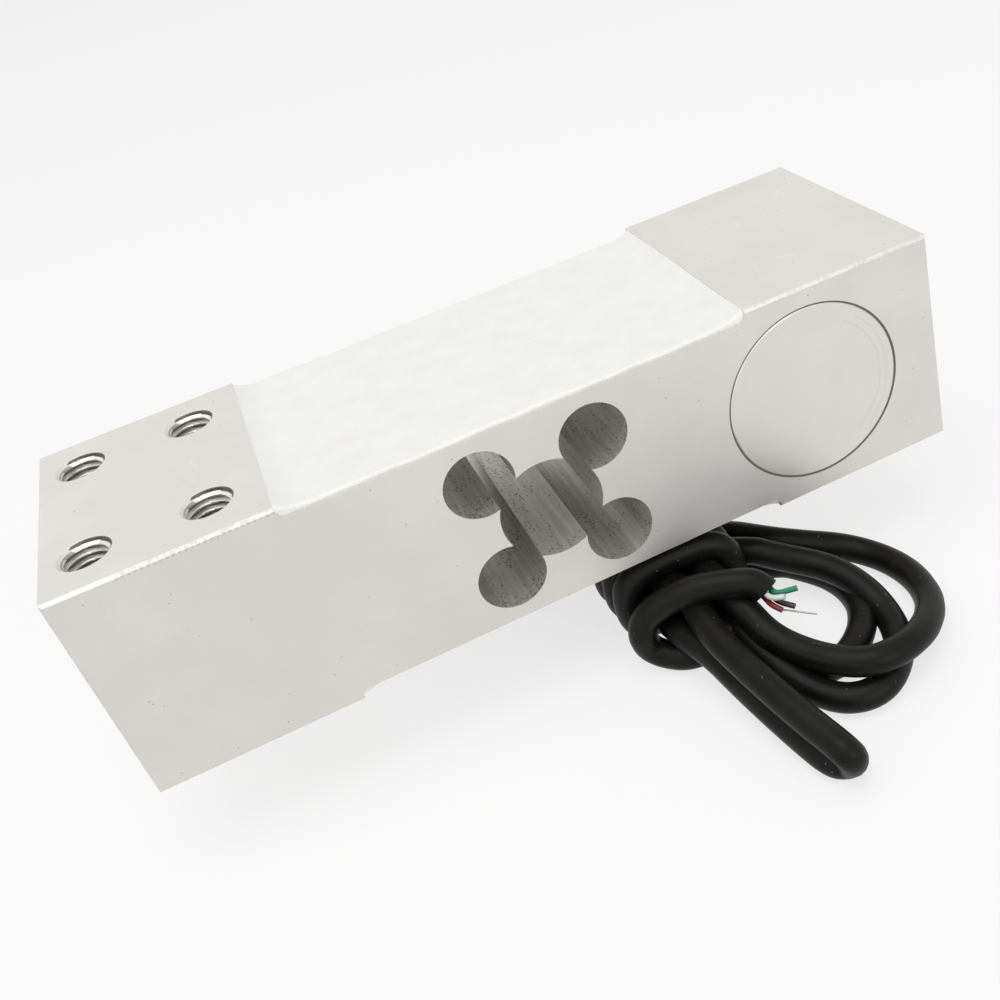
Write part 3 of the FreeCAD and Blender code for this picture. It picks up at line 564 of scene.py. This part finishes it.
def smooth_by_angle(mesh, degrees):
    """Shade smooth except across edges sharper than an angle and on the square faces."""
    mesh.shade_smooth()
    mesh.set_sharp_from_angle(angle=math.radians(degrees))
    square = math.cos(math.radians(0.4))
    for face in mesh.polygons:
        if max(abs(part) for part in face.normal) > square:
            face.use_smooth = False


# ---------------------------------------------------------------------------------------------
# The cable's way
# ---------------------------------------------------------------------------------------------

FLOOR = -36.3  # height of the cable's middle where it lies on the surface, in millimetres

# From the bush down behind the block to the surface.
FROM_BUSH = ((50, 28, 0), (50, 38, 0), (50, 46.7, -5), (50, 51.7, -13.7), (47.5, 52.5, -24),
             (41, 51.3, -32), (33, 48.5, FLOOR), (23.5, 44.4, FLOOR), (14, 42.5, FLOOR))

# Forward under the block, out to the right of the windings and round the widest loop.
WIDE_LOOP = (
    (4, 39.5, FLOOR), (-2, 32, FLOOR), (2, 22, FLOOR), (12, 11, FLOOR), (24, 0, -35),
    (34, -9, -32.5), (39, -18.9, -31), (44.5, -21.6, -33), (50.2, -24.1, -35),
    (53.9, -27.5, FLOOR), (55.9, -32.4, FLOOR), (56.8, -38.1, FLOOR), (55.8, -44.3, -36),
    (53.2, -49.3, -35), (48.8, -53.9, -33.5), (43.4, -56.9, -32), (38.2, -57.8, -31.2),
    (34.7, -56.3, -31.2), (31.4, -53.1, -31.2), (28.6, -49, -31), (26.4, -45.1, -30.3),
    (25.1, -41.9, -29.2), (24.5, -37.9, -27.8), (23.6, -33, -26.6), (23.4, -22, -26.4),
    (21, -8, -26.4), (16, 8, -26.4), (9, 22, -26.8), (2, 33, -29), (-6, 40, -31),
    (-14, 38, -31.2), (-16, 30, -31.2), (-9, 18, -31.2), (4, 4, -31.3), (18, -9, -30))

# The lower loop, which lies on the surface under the wide one.
LOWER_LOOP = (
    (33.3, -22.4, -28), (36.1, -24.6, -29.5), (40.1, -27.2, -31.2), (43.5, -30.9, -32),
    (45.7, -35.2, -33), (47.1, -39.5, -34.5), (47.5, -43.4, -36), (46.6, -47.9, FLOOR),
    (44.7, -52.2, FLOOR), (41.5, -55.9, FLOOR), (38.1, -58.3, FLOOR), (34.4, -58.9, FLOOR),
    (31.1, -57.6, FLOOR), (28.7, -55.3, -36), (26.4, -51.6, -35.2), (24.7, -46.9, -34),
    (23.6, -42.2, -33), (22.9, -37.5, -32), (23.6, -34, -31.4), (22.8, -20, -31.4),
    (18, -4, -31.4), (10, 12, -31.4), (0, 26, -31.4), (-8, 34, -29), (-15, 36, -26.5),
    (-20, 30, -26), (-16, 20, -26), (-4, 8, -27), (10, -4, -31), (22, -14, -35))

# The innermost loop.
INNER_LOOP = (
    (39.3, -19.3, FLOOR), (42.4, -24.2, FLOOR), (44.8, -28.9, FLOOR), (45.7, -34, FLOOR),
    (45.2, -38.9, FLOOR), (43.2, -43.2, FLOOR), (39.8, -46.9, FLOOR), (35.5, -49.4, FLOOR),
    (31.2, -49.5, FLOOR), (27.9, -46.6, -36), (25.9, -42.2, -35), (24.5, -37.8, -33.5),
    (18.5, -34, -31.4), (17.5, -20, -31.4), (13, -6, -31.4), (4, 8, -31.4), (-6, 20, -31),
    (-13, 26, -28), (-15, 20, -26.4), (-6, 8, -26.4), (6, -4, -26.4), (14, -16, -26.4))

# The long fold, out over the surface and back beneath itself.
LONG_FOLD = (
    (18, -28, -26.4), (16.7, -38.4, -27.3), (17.8, -46, -28.4), (19.3, -54.5, -29.5),
    (20.9, -62.3, -30.5), (22.2, -67.5, -31.1), (23, -71.2, -31.6), (23.8, -70.9, -33.8),
    (23.9, -69, FLOOR), (21.9, -67.7, FLOOR), (20.6, -62.5, -35.7), (19, -54.7, -34.7),
    (17.5, -46.2, -33.6), (16.4, -38.6, -32.5), (14, -32, -31.4), (12.8, -22, -31.4),
    (10, -10, -31), (6, 0, -28), (6, 6, -24.5))

# The last winding, across the front of the hank to the cut end.
LAST_WINDING = (
    (18.5, -32.5, FLOOR), (13.8, -32.2, FLOOR), (10.5, -29, FLOOR), (8.1, -27.6, -34),
    (7.6, -28.1, -30), (9.1, -28.2, -27), (12.4, -29.5, -24.6), (16.5, -31.4, -23),
    (20.4, -33.2, -22.5), (24.6, -35.3, -22.8), (27.6, -36.6, -23.4), (28.4, -38, -24.9))

WINDING_MIDDLE = (18.5, -28.9)  # across and up
WINDING_REACH = (10.4, 7.4)
WINDING_SQUARENESS = 0.62
WINDING_PITCH = 5.4
WINDING_FRONT = -24.6
POINTS_PER_WINDING = 12


def windings():
    """Turns of the cable round the hank, from under the block to the front."""
    steps = int(POINTS_PER_WINDING * (sizes().windings + 0.25))
    points = []
    for step in range(steps, -1, -1):
        angle = -math.pi / 4 + 2 * math.pi * step / POINTS_PER_WINDING
        across, up = math.cos(angle), math.sin(angle)
        points.append((
            WINDING_MIDDLE[0]
            + WINDING_REACH[0] * math.copysign(abs(across) ** WINDING_SQUARENESS, across),
            WINDING_FRONT + WINDING_PITCH * step / POINTS_PER_WINDING,
            WINDING_MIDDLE[1]
            + WINDING_REACH[1] * math.copysign(abs(up) ** WINDING_SQUARENESS, up)))
    return points


def cable_points():
    return [*FROM_BUSH, *WIDE_LOOP, *LOWER_LOOP, *INNER_LOOP, *LONG_FOLD, *windings(),
            *LAST_WINDING]


# ---------------------------------------------------------------------------------------------
# Operators
# ---------------------------------------------------------------------------------------------


class PieceOperator:
    """What every operator of this file shares."""

    bl_options = {"REGISTER", "UNDO"}

    def execute(self, context):
        self.build()
        return {"FINISHED"}


CAMERA_PLACE = (-29.10, -185.99, 108.58)  # in millimetres
CAMERA_TURN = (55.748, 13.174, -23.335)  # about X, Y and Z, in degrees
CAMERA_LENS = 42.98
CAMERA_SHIFT = (-0.1216, -0.0206)


class LOADCELL_OT_view(PieceOperator, bpy.types.Operator):
    """Set up the camera"""

    bl_idname = "load_cell.view"
    bl_label = "Camera"

    def build(self):
        camera = bpy.data.cameras.new("camera")
        camera.lens = CAMERA_LENS
        camera.sensor_width = 36.0
        camera.shift_x, camera.shift_y = CAMERA_SHIFT
        camera.clip_start = 0.01
        camera.clip_end = 20.0
        holder = bpy.data.objects.new("camera", camera)
        bpy.context.scene.collection.objects.link(holder)
        holder.location = Vector(CAMERA_PLACE) * MM
        holder.rotation_euler = [math.radians(angle) for angle in CAMERA_TURN]
        bpy.context.scene.camera = holder


class LOADCELL_OT_cable(PieceOperator, bpy.types.Operator):
    """Lay the cable from the bush into its hank, and finish its cut end"""

    bl_idname = "load_cell.cable"
    bl_label = "Cable"

    def build(self):
        points = cable_points()
        curve = bpy.data.curves.new("cable", "CURVE")
        curve.dimensions = "3D"
        spline = curve.splines.new("NURBS")
        spline.points.add(len(points) - 1)
        for point, place in zip(spline.points, points):
            point.co = (*(part * MM for part in place), 1.0)
        spline.order_u = 3
        spline.use_endpoint_u = True
        spline.resolution_u = 6
        curve.bevel_depth = sizes().cable_diameter / 2
        curve.bevel_resolution = 6
        curve.use_fill_caps = True
        curve.materials.append(jacket_material())
        cable = bpy.data.objects.new("cable", curve)
        bpy.context.scene.collection.objects.link(cable)
        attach(cable, "root")
        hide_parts("cable_run", "cable_hank")
        tuple(part * MM for part in points[0])


class LOADCELL_OT_spring_element(PieceOperator, bpy.types.Operator):
    """Finish the spring element and cut its eight mounting threads"""

    bl_idname = "load_cell.spring_element"
    bl_label = "Spring element"

    def build(self):
        finish = aluminium_material()
        mesh = merged_mesh(NODES["spring_element"].data.copy(), 0.001 * MM)
        block = new_object("spring_element_threaded", mesh, finish)
        for name, side, turn, deep in (
                ("load_plugs", -1, 0.0, sizes().free_thread_depth),
                ("fixed_plugs", 1, math.pi, sizes().fixed_thread_depth)):
            middle = (side * holes_along(), 0.0, -side * BLOCK_HIGH.z)
            cut_away(block, thread_cutters(name, middle, turn, deep, finish))
        smooth_by_angle(block.data, 28)
        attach(block, "root")
        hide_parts("spring_element")


SPREAD_COLUMNS, SPREAD_ROWS = 241, 81  # points along and across the compound
SPREAD_DEPTH = 0.6 * MM  # compound above the foot of its open face
SPREAD_CLIMB = 1.25 * MM  # its rise at the end walls
SPREAD_CLIMB_RUN = 4.5 * MM  # how far from an end wall it begins to rise
SPREAD_EDGE_WAVE = 0.16 * MM
SPREAD_EDGE_ROUND = 0.75 * MM


class LOADCELL_OT_compound(PieceOperator, bpy.types.Operator):
    """Spread the sealing compound over the gauges, above and below"""

    bl_idname = "load_cell.compound"
    bl_label = "Sealing compound"

    def build(self):
        finish = compound_material()
        for node, side in (("top_sealant", 1), ("bottom_sealant", -1)):
            low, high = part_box(node)
            piece = new_object(f"{node}_spread", self.spread(node, low, high, side), finish)
            smooth_by_angle(piece.data, 50)
            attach(piece, "root")
            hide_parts(node)

    @staticmethod
    def spread(name, low, high, side):
        """A closed slab whose open face climbs the end walls and rounds off at its edges."""
        wave = sizes().compound_wave
        base = low.z if side > 0 else high.z
        columns, rows = SPREAD_COLUMNS, SPREAD_ROWS
        depth, climb, run = SPREAD_DEPTH, SPREAD_CLIMB, SPREAD_CLIMB_RUN
        across = np.linspace(-1, 1, rows)
        across = np.sign(across) * (1 - (1 - np.abs(across)) ** 1.6)
        along = np.linspace(-1, 1, columns)
        top, under = [], []
        for v in across:
            for u in along:
                x = u * high.x
                edge = SPREAD_EDGE_WAVE * (math.sin(x * 210) * 0.6 + math.sin(x * 530 + side) * 0.4)
                y = v * (high.y - abs(edge) * abs(v) ** 8)
                level = depth + wave * (math.sin(x * 180 + 1.3 * side) * math.sin(y * 240 + 0.7)
                                        + 0.6 * math.sin(x * 410 + y * 300))
                to_wall = high.x - abs(x)
                reach = run * (1 + 0.22 * math.sin(y * 330 + 2 * u))
                if to_wall < reach:
                    level += climb * (1 - to_wall / reach) ** 2
                to_edge = (high.y - abs(y)) / SPREAD_EDGE_ROUND
                if to_edge < 1:
                    level *= 0.12 + 0.88 * math.sqrt(max(0.0, 1 - (1 - to_edge) ** 2))
                top.append((x, y, base + side * level))
                under.append((x, y, base))
        count = len(top)
        faces = grid_faces(rows, columns)
        closed = [tuple(reversed([i + count for i in face])) for face in faces]
        rim = [*range(columns), *range(2 * columns - 1, count, columns),
               *range(count - 2, count - columns - 1, -1),
               *range(count - 2 * columns, 0, -columns)]
        sides = [(a, a + count, b + count, b) for a, b in zip(rim, rim[1:] + rim[:1])]
        everything = faces + closed + sides
        if side < 0:
            everything = [tuple(reversed(face)) for face in everything]
        return mesh_from(name, top + under, everything)


class LOADCELL_OT_cover(PieceOperator, bpy.types.Operator):
    """Finish the cover disc and the dark bead round it"""

    bl_idname = "load_cell.cover"
    bl_label = "Cover"

    def build(self):
        dress("side_cover", cover_material())
        bead = plain_material("cover_adhesive", (0.14, 0.13, 0.12), 0.6)
        dress("cover_bead", bead)


class LOADCELL_OT_gauges(PieceOperator, bpy.types.Operator):
    """Finish the strain gauges, terminal strips, leads and bridge wires"""

    bl_idname = "load_cell.gauges"
    bl_label = "Gauges"

    def build(self):
        film = plain_material("amber_film", (0.62, 0.40, 0.13), 0.35)
        copper = plain_material("copper_lead", (0.80, 0.45, 0.28), 0.3, metallic=1.0)
        enamel = plain_material("wire_enamel", (0.42, 0.12, 0.05), 0.25)
        for face in ("top", "bottom"):
            for node in (f"strain_gauge_{face}_load", f"strain_gauge_{face}_fixed",
                         f"terminal_strip_{face}"):
                dress(node, film)
            dress(f"gauge_leads_{face}", copper)
            dress(f"bridge_wires_{face}", enamel)


class LOADCELL_OT_board(PieceOperator, bpy.types.Operator):
    """Finish the trim board in the wiring pocket"""

    bl_idname = "load_cell.board"
    bl_label = "Trim board"

    def build(self):
        dress("board_pad", plain_material("foam_pad", (0.30, 0.30, 0.31), 0.9))
        dress("trim_board", plain_material("board_lacquer", (0.03, 0.22, 0.09), 0.3))
        dress("trim_resistors", plain_material("resistor_black", (0.03, 0.03, 0.03), 0.5))
        solder = plain_material("solder_tin", (0.78, 0.78, 0.79), 0.2, metallic=1.0)
        dress("solder_joints", solder)


class LOADCELL_OT_bush(PieceOperator, bpy.types.Operator):
    """Finish the cable's bush and its stretch through the block"""

    bl_idname = "load_cell.bush"
    bl_label = "Bush"

    def build(self):
        dress("cable_bush", plain_material("bush_rubber", (0.028, 0.028, 0.028), 0.55))
        dress("cable_entry", bpy.data.materials["cable_jacket"])


class LOADCELL_OT_cores(PieceOperator, bpy.types.Operator):
    """Finish the cores, inside the block and at the cut end"""

    bl_idname = "load_cell.cores"
    bl_label = "Cores"

    def build(self):
        for name, tint in (("red", (0.22, 0.012, 0.012)), ("black", (0.02, 0.02, 0.02)),
                           ("green", (0.01, 0.22, 0.12)), ("white", (0.80, 0.80, 0.78))):
            finish = plain_material(f"core_{name}", tint, 0.38)
            for node in (f"inner_core_{name}", f"core_end_{name}"):
                dress(node, finish)
        tinned = plain_material("tinned_strand", (0.42, 0.40, 0.36), 0.35, metallic=1.0)
        dress("drain_wire", tinned)


class LOADCELL_OT_stage(PieceOperator, bpy.types.Operator):
    """Set up the floor and the lights"""

    bl_idname = "load_cell.stage"
    bl_label = "Stage"

    WHITE_SHARE = 0.72
    LAMPS = (
        # name, place, aim, width, strength
        ("overhead", (-0.10, -0.15, 0.95), (0.0, 0.0, 0.0), 0.90, 4.2),
        ("front_fill", (0.35, -0.95, 0.40), (0.0, 0.0, 0.0), 0.70, 2.1),
        ("left_fill", (-0.95, -0.35, 0.45), (0.0, 0.0, 0.0), 0.60, 0.7),
        ("rear_rim", (-0.80, 0.60, 0.75), (0.0, 0.0, 0.0), 0.50, 0.8),
    )

    def build(self):
        size = 6.0
        corners = [(-size, -size, SURFACE_Z), (size, -size, SURFACE_Z),
                   (size, size, SURFACE_Z), (-size, size, SURFACE_Z)]
        floor = new_object("floor", mesh_from("floor", corners, [(0, 1, 2, 3)]),
                           self.floor_material())
        for name, place, aim, width, strength in self.LAMPS:
            lamp = bpy.data.lights.new(name, "AREA")
            lamp.shape = "DISK"
            lamp.size = width
            lamp.energy = strength
            holder = bpy.data.objects.new(name, lamp)
            bpy.context.scene.collection.objects.link(holder)
            ahead = (Vector(aim) - Vector(place)).normalized()
            holder.matrix_world = (Matrix.Translation(place)
                                   @ ahead.to_track_quat("-Z", "Y").to_matrix().to_4x4())
        self.light_world()

    @staticmethod
    def seen_rays(shader):
        """1 where the camera or a mirroring or clear surface looks, 0 for the light."""
        camera, mirrored, through = (
            shader.node("ShaderNodeLightPath", {}, {}, output)
            for output in ("Is Camera Ray", "Is Glossy Ray", "Is Transmission Ray"))
        return camera.most(mirrored).most(through)

    def floor_material(self):
        """A white floor that keeps a soft part of the object's shadow."""
        shader = Shader("pale_floor")
        shader.finish(Base_Color=(0.93, 0.93, 0.93, 1), Roughness=0.9)
        tree = shader.tree
        glow = tree.nodes.new("ShaderNodeEmission")
        glow.inputs["Color"].default_value = (1, 1, 1, 1)
        mix = tree.nodes.new("ShaderNodeMixShader")
        shader.feed(mix.inputs[0], self.seen_rays(shader) * self.WHITE_SHARE)
        tree.links.new(shader.principled.outputs[0], mix.inputs[1])
        tree.links.new(glow.outputs[0], mix.inputs[2])
        tree.links.new(mix.outputs[0], tree.nodes["Material Output"].inputs["Surface"])
        return shader.material

    @staticmethod
    def light_world():
        """An even pale surround: white where it is seen or mirrored, softer as a light."""
        world = bpy.data.worlds.new("surround")
        bpy.context.scene.world = world
        world.use_nodes = True
        tree = world.node_tree
        background = tree.nodes["Background"]
        background.inputs["Color"].default_value = (1, 1, 1, 1)
        path = tree.nodes.new("ShaderNodeLightPath")
        seen = tree.nodes.new("ShaderNodeMath")
        seen.operation = "MAXIMUM"
        tree.links.new(path.outputs["Is Camera Ray"], seen.inputs[0])
        tree.links.new(path.outputs["Is Glossy Ray"], seen.inputs[1])
        level = tree.nodes.new("ShaderNodeMapRange")
        level.inputs["To Min"].default_value = 0.45
        level.inputs["To Max"].default_value = 1.0
        tree.links.new(seen.outputs[0], level.inputs["Value"])
        tree.links.new(level.outputs["Result"], background.inputs["Strength"])
        bpy.context.scene.view_settings.view_transform = "Standard"


OPERATORS = (
    LOADCELL_OT_view, LOADCELL_OT_cable, LOADCELL_OT_spring_element, LOADCELL_OT_compound,
    LOADCELL_OT_cover, LOADCELL_OT_gauges, LOADCELL_OT_board, LOADCELL_OT_bush,
    LOADCELL_OT_cores, LOADCELL_OT_stage,
)


class LOADCELL_PT_panel(bpy.types.Panel):
    """Sizes, colours and pieces of the load cell"""

    bl_idname = "LOADCELL_PT_panel"
    bl_label = "Load cell"
    bl_space_type = "VIEW_3D"
    bl_region_type = "UI"
    bl_category = "Load cell"

    def draw(self, context):
        for group in (context.scene.load_cell_sizes, context.scene.load_cell_colours):
            for name in group.__annotations__:
                self.layout.prop(group, name)
        for operator in OPERATORS:
            self.layout.operator(operator.bl_idname)


CLASSES = (LoadCellSizes, LoadCellColours, *OPERATORS, LOADCELL_PT_panel)


def register():
    for item in CLASSES:
        bpy.utils.register_class(item)
    bpy.types.Scene.load_cell_sizes = PointerProperty(type=LoadCellSizes)
    bpy.types.Scene.load_cell_colours = PointerProperty(type=LoadCellColours)


def unregister():
    del bpy.types.Scene.load_cell_colours
    del bpy.types.Scene.load_cell_sizes
    for item in reversed(CLASSES):
        bpy.utils.unregister_class(item)


def main():
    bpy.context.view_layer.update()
    register()
    for operator in OPERATORS:
        group, name = operator.bl_idname.split(".")
        getattr(getattr(bpy.ops, group), name)()


if __name__ == "__main__":
    main()
